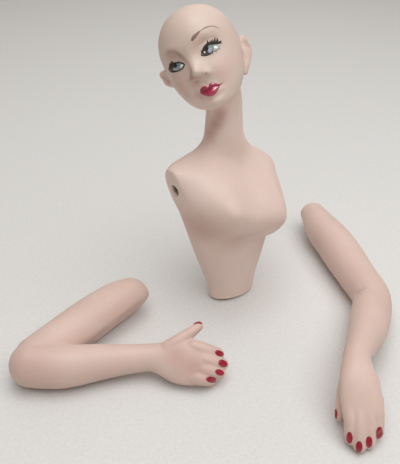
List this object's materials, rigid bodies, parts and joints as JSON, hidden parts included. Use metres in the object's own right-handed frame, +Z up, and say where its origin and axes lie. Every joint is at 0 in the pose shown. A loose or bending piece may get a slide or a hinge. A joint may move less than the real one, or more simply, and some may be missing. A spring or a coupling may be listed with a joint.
{
  "type": "half doll",
  "caption": "Bald half doll of flesh-coloured bisque: a hollow bust that ends at an arched waist rim, with its head turned and tilted, and a pair of loose, unstrung arms with painted nails.",
  "frame": {"origin": "middle of the laid-out set on the table plane, at the bottom centre of its bounding box", "axes": "+Z up from the table; the bust's chest faces -Y and its left side is +X; the arms lie as in the picture"},
  "size_m": [0.1556, 0.1112, 0.1096],
  "materials": {
    "bisque": "matte, smooth unglazed bisque in a pale flesh tint, with painted features"
  },
  "bodies": {
    "bust": {"bust": "bisque"},
    "right_arm": {"right_arm": "bisque"},
    "left_arm": {"left_arm": "bisque"}
  },
  "joints": [
    {"name": "right_arm_lift", "type": "slide", "parent": "bust", "child": "right_arm", "axis": [0, 0, 1], "range_m": [0, 0.045]},
    {"name": "left_arm_lift", "type": "slide", "parent": "bust", "child": "left_arm", "axis": [0, 0, 1], "range_m": [0, 0.039]}
  ]
}
